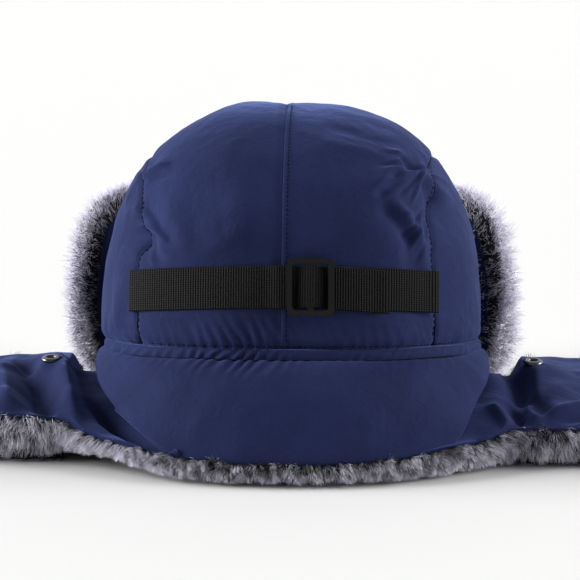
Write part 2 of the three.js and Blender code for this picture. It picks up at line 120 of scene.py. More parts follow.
def mesh_piece(name, points, faces, material, attributes=None):
    """A smooth-shaded object from points in millimetres and an array of faces."""
    points = np.asarray(points, dtype=np.float32).reshape(-1, 3) * MM
    faces = np.asarray(faces, dtype=np.int32)
    corners = faces.shape[1]
    mesh = bpy.data.meshes.new(name)
    mesh.vertices.add(len(points))
    mesh.vertices.foreach_set("co", points.ravel())
    mesh.loops.add(faces.size)
    mesh.loops.foreach_set("vertex_index", faces.ravel())
    mesh.polygons.add(len(faces))
    mesh.polygons.foreach_set("loop_start", np.arange(len(faces), dtype=np.int32) * corners)
    mesh.polygons.foreach_set("use_smooth", np.ones(len(faces), dtype=bool))
    for key, values in (attributes or {}).items():
        layer = mesh.attributes.new(key, "FLOAT", "POINT")
        layer.data.foreach_set("value", np.asarray(values, dtype=np.float32).ravel())
    mesh.update(calc_edges=True)
    mesh.validate()
    piece = bpy.data.objects.new(name, mesh)
    bpy.context.collection.objects.link(piece)
    mesh.materials.append(material)
    return piece


def normals_of(grid):
    """Unit normals of a grid of points, shape (rows, columns, 3)."""
    across = np.gradient(grid, axis=0)
    along = np.gradient(grid, axis=1)
    return unit(np.cross(across, along))


def sheet_piece(name, grid, material, thickness, outward=None):
    """A fabric skin from a grid of points; its thickness goes inward."""
    rows, columns = grid.shape[:2]
    faces = grid_faces(rows, columns)
    if outward is not None:
        middle = normals_of(grid)[rows // 2, columns // 2]
        if np.dot(middle, outward) < 0:
            faces = faces[:, ::-1]
    piece = mesh_piece(name, grid, faces, material)
    solid = piece.modifiers.new("thickness", "SOLIDIFY")
    solid.thickness = thickness * MM
    solid.offset = -1
    return piece


# ---- Materials ----
def new_material(name, color, roughness, metallic=0.0, sheen=0.0, sheen_tint=(1, 1, 1), gloss=0.3):
    material = bpy.data.materials.new(name)
    material.use_nodes = True
    shader = material.node_tree.nodes["Principled BSDF"]
    shader.inputs["Base Color"].default_value = (*color, 1)
    shader.inputs["Roughness"].default_value = roughness
    shader.inputs["Metallic"].default_value = metallic
    shader.inputs["Specular IOR Level"].default_value = gloss
    shader.inputs["Sheen Weight"].default_value = sheen
    shader.inputs["Sheen Roughness"].default_value = 0.38
    shader.inputs["Sheen Tint"].default_value = (*sheen_tint, 1)
    return material, shader


def node(material, kind, **inputs):
    made = material.node_tree.nodes.new(kind)
    for key, value in inputs.items():
        made.inputs[key.replace("_", " ")].default_value = value
    return made


def wire(material, out, into):
    material.node_tree.links.new(out, into)


def math_node(material, operation, a, b=None):
    made = material.node_tree.nodes.new("ShaderNodeMath")
    made.operation = operation
    for socket, value in zip(made.inputs, (a, b)):
        if value is None:
            continue
        if isinstance(value, (int, float)):
            socket.default_value = value
        else:
            wire(material, value, socket)
    return made.outputs[0]


def named_value(material, name):
    """The value of a mesh attribute."""
    made = node(material, "ShaderNodeAttribute")
    made.attribute_name = name
    return made.outputs["Fac"]


def add_bump(material, shader, height, strength, distance_mm):
    made = node(material, "ShaderNodeBump", Strength=strength, Distance=distance_mm * MM)
    wire(material, height, made.inputs["Height"])
    wire(material, made.outputs["Normal"], shader.inputs["Normal"])


def shell_fabric():
    """Matt nylon: cloudy navy with a fine weave and a slight crumple."""
    material, shader = new_material(
        "navy_nylon", (0.020, 0.027, 0.088), 0.6, sheen=0.28, sheen_tint=(0.26, 0.36, 0.90), gloss=0.01
    )
    place = node(material, "ShaderNodeTexCoord").outputs["Object"]
    cloudy = node(material, "ShaderNodeTexNoise", Scale=28.0, Detail=4.0)
    wire(material, place, cloudy.inputs["Vector"])
    tint = node(material, "ShaderNodeValToRGB")
    tint.color_ramp.elements[0].position, tint.color_ramp.elements[1].position = 0.3, 0.72
    tint.color_ramp.elements[0].color = (0.0138, 0.0180, 0.055, 1)
    tint.color_ramp.elements[1].color = (0.0176, 0.0236, 0.074, 1)
    wire(material, cloudy.outputs["Fac"], tint.inputs["Fac"])
    fine = node(material, "ShaderNodeTexNoise", Scale=1000.0, Detail=2.0)
    wire(material, place, fine.inputs["Vector"])
    grain = math_node(material, "ADD", math_node(material, "MULTIPLY", fine.outputs["Fac"], 0.5), 0.75)
    shade = material.node_tree.nodes.new("ShaderNodeVectorMath")
    shade.operation = "SCALE"
    wire(material, tint.outputs["Color"], shade.inputs[0])
    wire(material, grain, shade.inputs["Scale"])
    wire(material, shade.outputs[0], shader.inputs["Base Color"])
    weave = node(material, "ShaderNodeTexNoise", Scale=2600.0, Detail=2.0)
    wire(material, place, weave.inputs["Vector"])
    crumple = node(material, "ShaderNodeTexNoise", Scale=110.0, Detail=5.0, Distortion=1.2)
    wire(material, place, crumple.inputs["Vector"])
    threads = math_node(material, "MULTIPLY", weave.outputs["Fac"], 0.12)
    height = math_node(material, "ADD", threads, crumple.outputs["Fac"])
    add_bump(material, shader, height, 0.55, 0.9)
    return material


RIB_PITCH, PICK_PITCH = 1.25, 1.1  # of the webbing's weave, along and across it


def webbing_fabric(plain=False):
    """Ribs across the strap, from the mesh's along and across distances in millimetres."""
    material, shader = new_material("webbing", (0.017, 0.0165, 0.0155), 0.5, gloss=0.05)
    if plain:  # webbing that lies along X and keeps the CAD model's mesh
        place = node(material, "ShaderNodeTexCoord").outputs["Object"]
        parts = node(material, "ShaderNodeSeparateXYZ")
        wire(material, place, parts.inputs[0])
        axes = (parts.outputs["X"], parts.outputs["Z"])
        along, across = (math_node(material, "MULTIPLY", axis, 1 / MM) for axis in axes)
    else:
        along, across = (named_value(material, name) for name in ("along", "across"))
    rib = math_node(material, "SINE", math_node(material, "MULTIPLY", along, 2 * math.pi / RIB_PITCH))
    shift = math_node(material, "MULTIPLY", rib, 0.8)
    turn = math_node(material, "MULTIPLY", across, 2 * math.pi / PICK_PITCH)
    pick = math_node(material, "SINE", math_node(material, "ADD", turn, shift))
    height = math_node(material, "ADD", rib, math_node(material, "MULTIPLY", pick, 0.7))
    add_bump(material, shader, height, 1.0, 0.22)
    # Painted shade: the colour follows the weave's height, near black in the grooves and lighter on the ribs.
    tint = node(material, "ShaderNodeValToRGB")
    tint.color_ramp.elements[0].color = (0.0015, 0.0015, 0.0015, 1)
    tint.color_ramp.elements[1].color = (0.0205, 0.0205, 0.020, 1)
    level = math_node(material, "ADD", math_node(material, "MULTIPLY", height, 0.42), 0.30)
    wire(material, level, tint.inputs["Fac"])
    wire(material, tint.outputs["Color"], shader.inputs["Base Color"])
    return material


def fur_fibre(name, lit_through=0.0):
    """Dark at the root and frosted at the tip; each fibre carries a tint: its own variation, plus the painted
    shade and painted light that some fur pieces are given.
    """
    material, shader = new_material(name, (0.2, 0.2, 0.22), 0.6, sheen=0.05)
    along, tint = (named_value(material, key) for key in ("along", "tint"))
    colors = node(material, "ShaderNodeValToRGB")
    stops = colors.color_ramp.elements
    stops[0].position, stops[0].color = 0.0, (0.006, 0.0055, 0.006, 1)
    stops[1].position, stops[1].color = 1.0, (0.80, 0.78, 0.88, 1)
    between = (
        (0.26, (0.016, 0.0145, 0.014, 1)),
        (0.48, (0.14, 0.135, 0.15, 1)),
        (0.72, (0.48, 0.47, 0.55, 1)),
    )
    for position, color in between:
        stops.new(position).color = color
    wire(material, math_node(material, "ADD", along, tint), colors.inputs["Fac"])
    wire(material, colors.outputs["Color"], shader.inputs["Base Color"])
    if lit_through:
        through = node(material, "ShaderNodeBsdfTranslucent")
        both = node(material, "ShaderNodeMixShader", Fac=lit_through)
        wire(material, colors.outputs["Color"], through.inputs["Color"])
        wire(material, shader.outputs[0], both.inputs[1])
        wire(material, through.outputs[0], both.inputs[2])
        surface = material.node_tree.nodes["Material Output"].inputs["Surface"]
        wire(material, both.outputs[0], surface)
    return material


NAVY = shell_fabric()
WEB = webbing_fabric()
PLAIN_WEB = webbing_fabric(plain=True)
FUR = fur_fibre("fur_fibre")
FRINGE = fur_fibre("fur_fringe", lit_through=0.6)
UNDERFUR = new_material("underfur", (0.014, 0.013, 0.014), 0.95)[0]
THREAD = new_material("thread", (0.003, 0.004, 0.008), 0.8, gloss=0.05)[0]
PLASTIC = new_material("black_plastic", (0.0025, 0.0025, 0.0025), 0.24, gloss=0.6)[0]
STEEL = new_material("eyelet_steel", (0.12, 0.12, 0.13), 0.28, metallic=1.0)[0]
LINING = new_material("quilted_lining", (0.012, 0.013, 0.020), 0.42, sheen=0.3)[0]
ELASTIC = new_material("elastic", (0.03, 0.03, 0.03), 0.9)[0]


# ---- Crown ----
def to_hat(points):
    """From the crown's tilted frame to the hat's frame."""
    c, s = math.cos(CROWN_TILT), math.sin(CROWN_TILT)
    x, y, z = np.moveaxis(np.asarray(points, dtype=float), -1, 0)
    return np.stack([x, y * c + z * s, -y * s + z * c], axis=-1) + CROWN_CENTRE


def turn_to_hat(vectors):
    return to_hat(vectors) - CROWN_CENTRE


def share(x, y):
    """How far out a place lies in plan: 0 in the middle and 1 at the hem."""
    return (np.abs(x / HALF_WIDTH) ** PLAN + np.abs(y / HALF_DEPTH) ** PLAN) ** (1 / PLAN)


def rest(c, e):
    """The other coordinate of a superellipse of power e."""
    return np.maximum(0.0, 1 - np.abs(c) ** e) ** (1 / e)


def dome_height(x, y):
    return RISE * rest(share(x, y), DOME)


def dome_normal(x, y, z):
    steep = np.maximum(share(x, y), 1e-6) ** (DOME - PLAN)
    n = np.stack([
        steep * power(x / HALF_WIDTH, PLAN - 1) / HALF_WIDTH,
        steep * power(y / HALF_DEPTH, PLAN - 1) / HALF_DEPTH,
        power(np.maximum(z, 0) / RISE, DOME - 1) / RISE,
    ], axis=-1)
    return n / np.linalg.norm(n, axis=-1, keepdims=True)


def segment_distance(x, h, fold):
    """Distance to a fold's line, and a taper that is 1 at its middle and 0 past its ends."""
    x0, h0, x1, h1 = fold[:4]
    dx, dh = x1 - x0, h1 - h0
    length = math.hypot(dx, dh)
    t = ((x - x0) * dx + (h - h0) * dh) / length**2
    d = ((x - x0) * dh - (h - h0) * dx) / length
    return d, smooth(np.minimum(t + 0.35, 1.35 - t) / 0.5)


# Folds of the back of the crown: from (x, h) to (x, h), then half-width and height, before they are
# scaled. h is above the crown's hem. They run out of the side seams, where the fabric is gathered.
FOLD_WIDTH, FOLD_HEIGHT = 0.85, 1.5
CROWN_FOLDS = [
    (68, 90, 57, 95, 2.6, -2.6), (57, 95, 46, 80, 6, 2.0), (54, 86, 46, 77, 4, -2.2),
    (68, 90, 82, 75, 5, 1.8), (70, 84, 79, 70, 4, -1.4), (52, 72, 68, 57, 4, 2.0),
    (49, 69, 61, 56, 5, -1.8), (61, 57, 62, 40, 5, -1.6), (69, 54, 72, 39, 4, 1.4),
    (-72, 61, -60, 46, 5, 2.0), (-77, 51, -61, 45, 4, -2.2), (-74, 85, -65, 94, 4, 1.3),
    (-60, 70, -47, 45, 7, 0.9), (-30, 100, -18, 60, 9, 0.8), (30, 95, 22, 62, 9, -0.8),
    (-74, 72, -66, 62, 3, -1.2), (72, 30, 78, 10, 5, 1.0), (-84, 30, -90, 8, 5, 1.2),
    # Fine creases that fan out of the gathered points.
    (68, 91, 52, 99, 1.5, 1.0), (69, 90, 50, 91, 1.4, -1.1), (68, 89, 51, 84, 1.5, 1.1),
    (69, 88, 57, 78, 1.4, -1.0), (70, 87, 64, 74, 1.5, 0.9), (71, 91, 84, 84, 1.6, 1.0),
    (70, 70, 58, 66, 1.5, 0.8), (70, 67, 60, 58, 1.4, -0.9), (71, 64, 63, 50, 1.6, 0.8),
    (73, 58, 66, 44, 1.6, -0.8), (-75, 60, -62, 54, 1.6, 0.9), (-75, 57, -60, 50, 1.4, -0.8),
    (-76, 55, -66, 40, 1.6, 0.8), (-76, 86, -64, 92, 1.5, 0.7), (-76, 84, -62, 86, 1.5, -0.7),
    (-76, 20, -60, 15, 2, 0.5), (-78, 88, -86, 74, 2, 0.8), (20, 104, 44, 98, 3, 0.5),
    (24, 112, 50, 104, 3, -0.5), (-20, 60, -40, 46, 5, 0.5),
]
# Notches of the side seams: height, pull towards the middle, half-height.
SEAM_NOTCHES = {-1: [(55, 6.5, 7), (88, -1.0, 10)], 1: [(45, 4.0, 60), (90, 2.5, 6), (66, 2.5, 8)]}


def seam_shift(x, y, h):
    """Sideways pull of the fabric, so that seams wander as gathered seams do."""
    shift = -2.4 * bump(x, 30)
    behind = ramp(-y, -10, 30)
    for side, notches in SEAM_NOTCHES.items():
        near = bump(x * side - SIDE_SEAM, 13) * behind
        for height, pull, half in notches:
            shift = shift - side * pull * near * bump(h - height, half)
    return shift


def strap_level(x):
    """Height of the strap's middle line above the crown's hem."""
    return STRAP_H - STRAP_DROP * (x / 80) ** 2


def under_strap(x, y, h):
    """1 where the strap presses the fabric flat."""
    level = strap_level(x)
    return bump((h - level) / 12.5, 1.0) ** 0.5 * ramp(-y, 20, 50) * ramp(92 - np.abs(x), 0, 14)


def crown_relief(x, y, h):
    """How far the padded shell stands off the plain dome, in millimetres."""
    p = np.stack([x, y, h], axis=-1)
    seam = np.minimum(np.abs(x), np.abs(np.abs(x) - SIDE_SEAM))
    side = np.abs(np.abs(x) - SIDE_SEAM)
    relief = 1.3 * (1 - bump(seam, 18)) + 1.3 * rough(p, 55, 3.1) + 0.45 * rough(p, 20, 9.7)
    relief = relief + 0.16 * rough(p * [1, 1, 0.55], 7, 5.2)
    for fold in CROWN_FOLDS:
        d, taper = segment_distance(x, h, fold)
        relief = relief + FOLD_HEIGHT * fold[5] * bump(d, FOLD_WIDTH * fold[4]) * taper * ramp(-y, -5, 25)
    gather = np.sin(h / 1.5 + 2.5 * rough(p, 16, 1.3)) * (0.5 + 0.5 * rough(p, 24, 7.7))
    relief = relief + 0.75 * gather * bump(side, 6.5)
    relief = relief * (1 - 0.8 * under_strap(x, y, h))
    # The side seams sink in, and the centre seam is lapped: a low step beside a groove.
    relief = relief - 1.0 * bump(side, 1.3)
    relief = relief + 0.28 * ramp(x, -0.3, 0.4) * ramp(3.4 - x, 0, 1.6) - 0.55 * bump(x + 1.2, 2.0)
    # The shoulders of the dome are a little flatter.
    relief = relief - 2.0 * bump(np.abs(x) - 50, 20) * ramp(h, 82, 106)
    # Fine pleats stand over the elastic, and the hem turns in at the band.
    pleat = np.sin(x / 0.95 + h * 0.5 + 2.4 * rough(p, 14, 2.2)) * (0.18 + 0.82 * bump(x + 20, 22))
    relief = relief + 1.15 * pleat * bump(h, 11) * ramp(h, 0, 3) * ramp(-y, 0, 40)
    return relief - 2.6 * bump(h, 2.6)


def crown_skin(x, y, flat_h=None):
    """Points of the shell over the dome's (x, y), in the hat's frame."""
    h = dome_height(x, y) if flat_h is None else flat_h
    n = dome_normal(x, y, h)
    p = np.stack([x + seam_shift(x, y, h), y, h], axis=-1)
    return p + n * crown_relief(x, y, h)[..., None], n


def tucked(grid, n, sides):
    """The grid with an extra row on the named sides, turned inward as a seam allowance."""
    if "start" in sides:
        grid = np.concatenate([grid[:1] - n[:1] * SEAM_ALLOWANCE, grid])
        n = np.concatenate([n[:1], n])
    if "end" in sides:
        grid = np.concatenate([grid, grid[-1:] - n[-1:] * SEAM_ALLOWANCE])
    return grid


def crown_middle(side):
    """The panel between the centre seam and a side seam, over the top from back to front."""
    columns, rows = int(100 * DETAIL) + 6, int(330 * DETAIL) + 10
    u, v = lattice(columns, rows)
    x = side * lerp(0.0, SIDE_SEAM - SEAM_GAP, u)
    y = -HALF_DEPTH * rest(x / HALF_WIDTH, PLAN) * power(np.cos(np.pi * v), 2 / DOME)
    grid, n = crown_skin(x, y)
    return to_hat(tucked(grid, n, ("start", "end")))


def crown_side(side):
    """The panel outside a side seam, from back to front and from the hem to the seam."""
    columns, rows = int(200 * DETAIL) + 8, int(90 * DETAIL) + 6
    reach = 0.992 * HALF_DEPTH * rest(SIDE_SEAM / HALF_WIDTH, PLAN)
    u, v = lattice(columns, rows, (-1, 1))
    y = reach * np.sin(u * np.pi / 2)
    outermost = HALF_WIDTH * rest(y / HALF_DEPTH, PLAN)
    seam = np.arccos(np.minimum(1, (SIDE_SEAM + SEAM_GAP) / outermost) ** (DOME / 2))
    x = side * outermost * power(np.cos(seam * v), 2 / DOME)
    grid, n = crown_skin(x, y)
    grid = np.swapaxes(tucked(np.swapaxes(grid, 0, 1), np.swapaxes(n, 0, 1), ("end",)), 0, 1)
    return to_hat(grid)


def ride_root(piece, *nodes):
    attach(piece, "root")
    if nodes:
        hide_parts(*nodes)
    return piece


for label, side in SIDES:
    middle = sheet_piece(f"crown_middle_{label}_skin", crown_middle(side), NAVY, 1.0, outward=(0, 0, 1))
    ride_root(middle, f"crown_middle_{label}", f"crown_middle_{label}_padding")
    outer = sheet_piece(f"crown_side_{label}_skin", crown_side(side), NAVY, 1.0, outward=(side, 0, 0.2))
    ride_root(outer, f"crown_side_{label}", f"crown_side_{label}_padding")


# ---- Band: the channel under the crown, gathered on elastic at the back ----
def ring_point(angle):
    """Share of half-width and half-depth at an angle from the back, seen from above."""
    a = angle - math.pi / 2
    return power(np.cos(a), 2 / PLAN), power(np.sin(a), 2 / PLAN)


def band_grid():
    """The channel all round the hat; v runs down from the crown's hem."""
    turns, rows = int(900 * DETAIL), 19
    angle, v = lattice(turns, rows, (-math.pi, math.pi))
    cx, cy = ring_point(angle)
    x, y, h = HALF_WIDTH * cx, HALF_DEPTH * cy, -CASING * v + 0.6
    n = dome_normal(x, y, np.zeros_like(x))
    p = np.stack([x, y, h], axis=-1)
    back = ramp(-y, 0, 60)
    gather = 0.22 + 0.78 * bump(x + 16, 26)
    slant = np.sin((x + 5.0 * v) / 0.95 + 2.6 * rough(p, 15, 4.4))
    puff = np.sin(np.pi * np.clip(v, 0, 1)) ** 0.45
    uneven = 0.35 + 0.65 * ramp(rough(p, 7, 12.3), -0.4, 0.5)
    relief = -1.9 + 2.0 * puff + back * gather * 1.0 * slant * uneven * puff + 0.45 * rough(p, 16, 8.8) * puff
    relief = relief - 2.0 * ramp(v, 0.9, 1.0) - 1.4 * bump(v, 0.05)
    p[..., 2] += 0.7 * rough(p, 45, 6.1) * back
    return to_hat(p + n * relief[..., None])


BAND_GRID = band_grid()
band = sheet_piece("band_casing_skin", BAND_GRID, NAVY, 0.8, outward=(0, -1, 0))
ride_root(band, "band_casing")


# ---- Neck flap ----
NECK_HALF_ANGLE = math.radians(84)
HEM_ENDS = (-66.0, 80.0)
HEM_BACK = (-140.5, 10.2)  # y and z of the lower edge at the centre back
HEM_HALF = 112.0
BACK_Y = -60.0  # the hem stands off the table only behind this


def hem_curve(x):
    """The lower edge of the whole skirt, as a point over x."""
    reach = np.abs(x) / HEM_HALF
    rise = np.where(x < 0, 8.8, 7.0)
    return np.stack([x, HEM_BACK[0] + 42.5 * reach**2.3, HEM_BACK[1] + rise * reach**2], axis=-1)


def fur_floor(points):
    """How far the fur's underside stands off the table, where the left ear flap begins."""
    return 6.5 * bump(points[:, 0] + 90, 27) * (points[:, 1] < BACK_Y)


def hem_point(across):
    """The neck flap's lower edge; across runs from -1 to 1."""
    return hem_curve(np.where(across < 0, -HEM_ENDS[0], HEM_ENDS[1]) * across)


def band_bottom(across):
    cx, cy = ring_point(across * NECK_HALF_ANGLE)
    low = np.full_like(cx, -CASING + 3.0)
    inside = 4.5  # the flap's seam lies behind the channel
    return to_hat(np.stack([(HALF_WIDTH - inside) * cx, (HALF_DEPTH - inside) * cy, low], axis=-1))


def neck_surface(across, v):
    """The flap's fabric: across from -1 to 1, v from the channel down to the lower edge."""
    top, low = band_bottom(across), hem_point(across)
    cx, cy = ring_point(across * NECK_HALF_ANGLE)
    outward = np.stack([cx, cy, 0.32 + 0 * cx], axis=-1)
    outward /= np.linalg.norm(outward, axis=-1, keepdims=True)
    end = ramp(np.abs(across), 0.55, 0.98)
    swell = lerp(9.5, 13.0, end) * np.sin(np.pi * np.clip(v, 0, 1) ** 0.62) ** 0.8
    p = lerp(top, low, v[..., None])
    x = p[..., 0]
    pucker = np.sin((x + 16 * v) / 0.95 + 2.6 * rough(p, 15, 4.4)) * bump(v, 0.13) * ramp(v, 0, 0.04)
    pucker = pucker * (0.12 + 0.88 * bump(x + 18, 24))
    relief = swell + 1.1 * pucker + 1.2 * rough(p, 42, 5.5) * np.sin(np.pi * v) + 0.3 * rough(p, 13, 1.9)
    return p + outward * relief[..., None]


def neck_grid():
    """The fabric with its rolled ends and its turned-in lower edge."""
    columns, rows = int(430 * DETAIL), int(90 * DETAIL) + 6
    across, v = lattice(columns, rows, (-1, 1))
    v = v * (1 - 0.34 * ramp(-across, 0.76, 1.0))
    grid = neck_surface(across, v)
    grid[..., 0] -= 3.5 * bump(v - 0.45, 0.2) * ramp(-across, 0.72, 1.0)
    n = normals_of(grid)
    facing = np.sign(np.sum(n * (grid - [0, 0, 20]), axis=-1, keepdims=True))
    n = n * facing
    # Both ends roll under in a rounded fold, over the ear flaps.
    roll = np.linspace(0, 1, 9)[1:]
    ends = []
    for side, edge in ((-1, 0), (1, -1)):
        tangent = np.array([side * 0.55, 0.83, 0.0])
        curl = [grid[edge] + tangent * 3.2 * math.sin(r * math.pi) - n[edge] * 9.0 * r for r in roll]
        ends.append(curl[::-1] if side < 0 else curl)
    grid = np.concatenate([ends[0], grid, ends[1]])
    lip = grid[:, -1:] + np.array([0, 0, -2.2]) * np.ones((len(grid), 1, 1))
    inner = lip * [0.97, 0.97, 1.0] + [0, 0, -0.6]
    return np.concatenate([grid, lip, inner], axis=1)


neck = sheet_piece("neck_flap_skin", neck_grid(), NAVY, 1.0, outward=(0, -1, 0.4))
ride_root(neck, "neck_flap_shell", "neck_flap_padding")


# ---- Ear flaps ----
EAR_TIP_X, EAR_LENGTH, EAR_POWER = 243.0, 134.0, 2.6
EAR_START, EAR_CUT = 111, 0.985  # where the outline starts, and the share of its length that is used
EAR_MIDDLE, EAR_HALF = -24.0, 74.0
# Folds of each ear flap: from (x, y) to (x, y), then half-width and height before it is scaled.
EAR_FOLDS = {
    -1: [(-148, 5, -122, -95, 6.5, -6.6), (-128, -10, -108, -90, 5, 3.6), (-160, -20, -140, -95, 6, 3.4),
         (-150, -20, -112, -35, 6, 1.6), (-116, -20, -108, -60, 4, -1.5), (-95, -84, -62, -126, 5.0, -5.5),
         (-172, 20, -165, -80, 9, -2.0)],
    1: [(112, 30, 122, -70, 8.5, -7.5), (129, -34, 126, -66, 4.5, 2.4), (113, -75, 119, -98, 3.2, -3.0),
        (104, -80, 112, -102, 3, 1.8), (122, -70, 126, -98, 3.2, 2.2), (133, -88, 156, -70, 4.5, 2.6),
        (150, 0, 160, -80, 9, -1.8), (140, -92, 160, -84, 3.5, -2.4)],
}
EAR_FOLD_HEIGHT = 1.6


def ear_relief(side, p, s, t):
    """How far the padding and the folds lift the fabric; they fade at the rim."""
    relief = 2.2 * rough(p, 34, 3.3 + side) + 0.7 * rough(p, 13, 7.1)
    for fold in EAR_FOLDS[side]:
        d, taper = segment_distance(p[..., 0], p[..., 1], fold)
        relief = relief + EAR_FOLD_HEIGHT * fold[5] * bump(d, fold[4]) * taper
    rim = np.minimum(np.minimum(t, 1 - t) * 148, (1 - s) * 140)
    return relief * ramp(rim, -1, 14) + 1.2 * ramp(rim, 0, 10)


def corner_hollow(side, x, p):
    """Height of the fabric, which the front flap's corner presses in close to the crown."""
    y = p[..., 1]
    hollow = lerp(30.0, 13.5, (y + 24) / 69)
    outer = (112 if side < 0 else 113.5) + 0.13 * (y + 24)
    pressed = ramp(x, 99, 103) * ramp(outer + 8 - x, 0, 9) * ramp(y, -64, -24)
    return lerp(p[..., 2], np.minimum(p[..., 2], hollow), pressed)


def ear_top(side, s, t):
    """The flap's fabric; s runs outward, t from the front edge to the rear edge."""
    # The root, under the crown's band and the neck flap's end.
    root_x = lerp(101.0, 50.0 if side < 0 else 66.0, smooth(t) ** 1.3)
    root_y = lerp(45.0, -131.0, t)
    root_z = lerp(41.0, 12.0, smooth((t - 0.25) / 0.75))
    x = lerp(root_x, EAR_TIP_X, s)
    # The spread outline, with a crest along the middle that falls towards the tip.
    along = np.clip((x - EAR_START) / EAR_LENGTH, 0, EAR_CUT)
    narrow = rest(along, EAR_POWER)
    y_out = EAR_MIDDLE + EAR_HALF * narrow * (1 - 2 * t)
    crest = lerp(33.0 if side < 0 else 34.5, 17.5, smooth(along))
    edge_z = np.where((t > 0.5) & (side > 0), 18.5, 23.5)
    z_out = lerp(crest, np.minimum(edge_z, crest), (1 - 2 * t) ** 2)
    # The rear edge runs on from the neck flap's hem.
    w = ramp(x, 70, 122)
    rear = hem_curve(side * np.minimum(x, 116.0))
    root_y = lerp(root_y, rear[..., 1], ramp(t, 0.55, 1.0))
    root_z = lerp(root_z, rear[..., 2], ramp(t, 0.55, 1.0))
    w = lerp(w, ramp(x, 100, 128), ramp(t, 0.55, 1.0))
    p = np.stack([side * x, lerp(root_y, y_out, w), lerp(root_z, z_out, w)], axis=-1)
    p[..., 2] += ear_relief(side, p, s, t)
    p[..., 2] = corner_hollow(side, x, p)
    return p


def label_of(side):
    return "left" if side < 0 else "right"


def eyelet_seat(side):
    """The middle of the eyelet's upper face, from its CAD node."""
    low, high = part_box(label_of(side) + "_eyelet")
    return np.array([(low[0] + high[0]) / 2, (low[1] + high[1]) / 2, high[2]]) / MM


def ear_grid(side):
    """The fabric with a seat for the eyelet and a rim that turns under."""
    columns, rows = int(170 * DETAIL), int(120 * DETAIL)
    s, t = lattice(columns, rows)
    s = 1 - (1 - s) ** 1.12
    grid = ear_top(side, s, t)
    seat = eyelet_seat(side)
    near = bump(np.hypot(grid[..., 0] - seat[0], grid[..., 1] - seat[1]), 11)
    plane = seat[2] - 0.9 + 0.1 * (grid[..., 1] - seat[1])
    grid[..., 2] = lerp(grid[..., 2], plane, near)
    drop = np.array([0, 0, -1.0])
    centre = np.array([side * 150, EAR_MIDDLE, 0])

    def rolled(edge, down, inset):
        inward = (centre - edge) * [1, 1, 0]
        inward /= np.linalg.norm(inward, axis=-1, keepdims=True)
        return edge + drop * down + inward * inset

    turned, under = (2.5, -0.8), (5.5, 1.5)
    grid = np.concatenate([grid, rolled(grid[-1:], *turned), rolled(grid[-1:], *under)])
    first, last = grid[:, :1], grid[:, -1:]
    before = [rolled(first, *under), rolled(first, *turned)]
    after = [rolled(last, *turned), rolled(last, *under)]
    return np.concatenate([*before, grid, *after], axis=1)


def cross_hinge(piece):
    """Bakes a piece's placement into its mesh."""
    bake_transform(piece)


EYELET_TILT = 6.0  # degrees, with the fabric's slope


def eyelet_ring(side):
    """A rolled metal eyelet on the flap's fabric."""
    seat = eyelet_seat(side)
    section = [
        (2.45, -2.5), (2.45, 0.2), (2.75, 0.75), (3.3, 0.95),
        (4.2, 0.75), (4.8, 0.3), (5.0, -0.15), (4.9, -0.6),
    ]
    turns = 48
    angles = np.linspace(0, 2 * np.pi, turns + 1)
    grid = np.array([[(r * math.cos(a), r * math.sin(a), z) for r, z in section] for a in angles])
    tilt = Matrix.Rotation(math.radians(EYELET_TILT), 3, "X")
    grid = grid @ np.array(tilt.transposed()) + seat + [0, 0, -0.5]
    return sheet_piece(label_of(side) + "_eyelet_ring", grid, STEEL, 0.3)


for label, side in SIDES:
    body = f"{label}_ear_flap"
    ear = sheet_piece(f"{label}_ear_skin", ear_grid(side), NAVY, 1.0, outward=(0, 0, 1))
    cross_hinge(ear)
    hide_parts(f"{label}_ear_shell", f"{label}_ear_padding")
    ring = eyelet_ring(side)
    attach(ring, body)
    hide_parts(f"{label}_eyelet")


# ---- Strap webbing; the slider stays the CAD node's ----
def strap_point(x, across, lift):
    """On the back of the crown: across the strap from -1 to 1, lift above the plain dome."""
    level = strap_level(x) + across * WEBBING_WIDTH / 2
    s = rest(level / RISE, DOME)
    y = -HALF_DEPTH * s * rest(x / HALF_WIDTH / s, PLAN)
    n = dome_normal(x, y, level)
    return np.stack([x, y, level], axis=-1) + n * (lift + 0 * x)[..., None]


def strap_section(half):
    """A webbing's cross-section: across from -1 to 1, and up; its edges are rounded."""
    bend = np.linspace(-1.2, 1.2, 5)
    section = [(-1, -half), (1, -half)]
    section += [(1 + 0.05 * math.cos(a), half * math.sin(a)) for a in bend]
    section += [(c, half) for c in np.linspace(0.98, -0.98, 15)]
    section += [(-1 - 0.05 * math.cos(a), half * math.sin(a)) for a in bend[::-1]]
    return section


def strap_piece(name, start, end, lift_of, tilt=0.0):
    """Webbing from x = start to x = end; lift_of gives its underside."""
    half = WEBBING / 2
    section = strap_section(half)
    steps = int(abs(end - start) * 1.2) + 4
    x, k = np.meshgrid(np.linspace(start, end, steps), np.arange(len(section)), indexing="ij")
    across, up = np.array(section)[k, 0], np.array(section)[k, 1]
    sway = 0.25 * np.sin(x / 9.0 + start)
    slope = tilt * (x - start) * 2 / WEBBING_WIDTH
    grid = strap_point(x, across + slope, lift_of(x) + half + up + 0.12 * sway)
    rows, columns = grid.shape[:2]
    faces = grid_faces(rows, columns)
    first = np.arange(rows - 1) * columns
    last = first + columns - 1
    wrap = np.stack([last, last + columns, first + columns, first], axis=1)
    faces = np.concatenate([faces, wrap])[:, ::-1]
    distances = {"along": x, "across": across * WEBBING_WIDTH / 2}
    piece = mesh_piece(name, to_hat(grid), faces, WEB, distances)
    cap_ends(piece, rows, columns)
    return ride_root(piece)


def cap_ends(piece, rows, columns):
    """Closes the webbing at its first and last section."""
    bm = bmesh.new()
    bm.from_mesh(piece.data)
    bm.verts.ensure_lookup_table()
    for first in (0, (rows - 1) * columns):
        bm.faces.new([bm.verts[first + i] for i in range(columns)])
    bmesh.ops.recalc_face_normals(bm, faces=bm.faces)
    bm.to_mesh(piece.data)
    bm.free()


